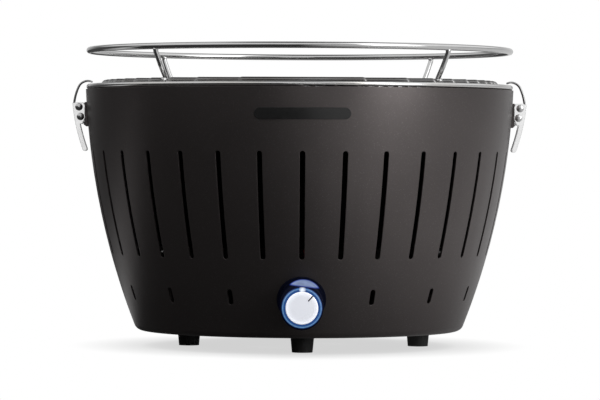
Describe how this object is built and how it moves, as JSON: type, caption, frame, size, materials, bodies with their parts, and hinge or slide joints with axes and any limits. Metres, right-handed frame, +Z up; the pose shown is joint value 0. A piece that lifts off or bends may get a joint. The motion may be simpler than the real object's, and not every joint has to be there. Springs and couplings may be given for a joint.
{
  "type": "portable tabletop grill",
  "caption": "Round tabletop charcoal grill: slotted outer bowl, lift-out grate with guard ring, side latches, lit fan knob in front, battery fan in the base.",
  "frame": {"origin": "centre of the plane that the four feet stand on", "axes": "+Z up, -Y towards the knob at the front, +X towards the right-hand latch"},
  "size_m": [0.3722, 0.3508, 0.2443],
  "materials": {
    "powder_coat": "fine-grained semi-matt powder coat",
    "badge": "smooth black",
    "rubber": "matt",
    "fasteners": "zinc plated",
    "bowl_steel": "polished spun stainless steel",
    "inner_steel": "satin stainless steel",
    "wire_chrome": "polished wire",
    "latch_steel": "polished",
    "collar_plastic": "gloss black",
    "clear_blue": "clear blue, lit from behind",
    "knob_silver": "satin spun",
    "dark_metal": "plain",
    "black_plastic": "moulded, fine texture",
    "cell_wrap": "plain sleeve",
    "contact_metal": "plated",
    "motor_metal": "plain can",
    "wire_sleeve": "plain"
  },
  "bodies": {
    "base": {"outer_bowl": "powder_coat", "name_plate_blank": "badge", "feet": "rubber", "foot_screws": "fasteners", "foot_nuts": "fasteners", "inner_bowl": "bowl_steel", "air_diffuser": "inner_steel", "fuel_tray": "inner_steel", "left_latch_bracket": "powder_coat", "right_latch_bracket": "powder_coat", "latch_mount_rivets": "fasteners", "latch_pivot_rivets": "fasteners", "knob_collar": "collar_plastic", "light_ring": "clear_blue", "knob_leds": "clear_blue", "speed_control": "dark_metal", "control_nut": "fasteners", "base_panel": "black_plastic", "base_panel_screws": "fasteners", "battery_box": "black_plastic", "battery_cells": "cell_wrap", "battery_contacts": "contact_metal", "fan_housing": "black_plastic", "fan_housing_screws": "fasteners", "fan_motor": "motor_metal", "wiring": "wire_sleeve"},
    "basket": {"charcoal_basket": "inner_steel"},
    "lid": {"basket_lid": "inner_steel", "lid_handle": "inner_steel"},
    "grate": {"grate_ring": "wire_chrome", "grate_rods": "wire_chrome", "grate_cross_bars": "wire_chrome"},
    "guard": {"guard_ring": "wire_chrome", "guard_ring_legs": "wire_chrome"},
    "left_lever": {"left_latch_lever": "latch_steel", "left_bail_pin": "fasteners"},
    "left_bail": {"left_latch_bail": "wire_chrome"},
    "right_lever": {"right_latch_lever": "latch_steel", "right_bail_pin": "fasteners"},
    "right_bail": {"right_latch_bail": "wire_chrome"},
    "knob": {"knob_shaft": "dark_metal", "knob_skirt": "clear_blue", "knob_face": "knob_silver"},
    "fan": {"fan_shaft": "dark_metal", "fan_impeller": "black_plastic"},
    "battery_door": {"battery_cover": "black_plastic"}
  },
  "joints": [
    {"name": "basket_lift", "type": "slide", "parent": "base", "child": "basket", "axis": [0, 0, 1], "range_m": [0, 0.02]},
    {"name": "lid_lift", "type": "slide", "parent": "basket", "child": "lid", "axis": [0, 0, 1], "range_m": [0, 0.025]},
    {"name": "grate_lift", "type": "slide", "parent": "base", "child": "grate", "axis": [0, 0, 1], "range_m": [0, 0.1]},
    {"name": "guard_ring_lift", "type": "slide", "parent": "grate", "child": "guard", "axis": [0, 0, 1], "range_m": [0, 0.06]},
    {"name": "left_latch_open", "type": "hinge", "parent": "base", "child": "left_lever", "pos_m": [-0.1808, 0, 0.1955], "axis": [0, 1, 0], "range_deg": [0, 100]},
    {"name": "left_bail_swing", "type": "hinge", "parent": "left_lever", "child": "left_bail", "pos_m": [-0.1795, 0, 0.1876], "axis": [0, 1, 0], "range_deg": [-121, 1]},
    {"name": "right_latch_open", "type": "hinge", "parent": "base", "child": "right_lever", "pos_m": [0.1808, 0, 0.1955], "axis": [0, -1, 0], "range_deg": [0, 100]},
    {"name": "right_bail_swing", "type": "hinge", "parent": "right_lever", "child": "right_bail", "pos_m": [0.1795, 0, 0.1876], "axis": [0, -1, 0], "range_deg": [-121, 1]},
    {"name": "knob_turn", "type": "hinge", "parent": "base", "child": "knob", "pos_m": [0, -0.16, 0.0386], "axis": [0, -1, 0], "range_deg": [-108, 192]},
    {"name": "fan_spin", "type": "hinge", "parent": "base", "child": "fan", "pos_m": [0, 0, 0.06], "axis": [0, 0, 1], "continuous": true},
    {"name": "battery_cover_slide", "type": "slide", "parent": "base", "child": "battery_door", "axis": [0.7071, 0.7071, 0], "range_m": [0, 0.07]}
  ],
  "couplings": [
    {"joint": "left_bail_swing", "follows": "left_latch_open", "ratio": -1.2},
    {"joint": "right_bail_swing", "follows": "right_latch_open", "ratio": -1.2}
  ]
}
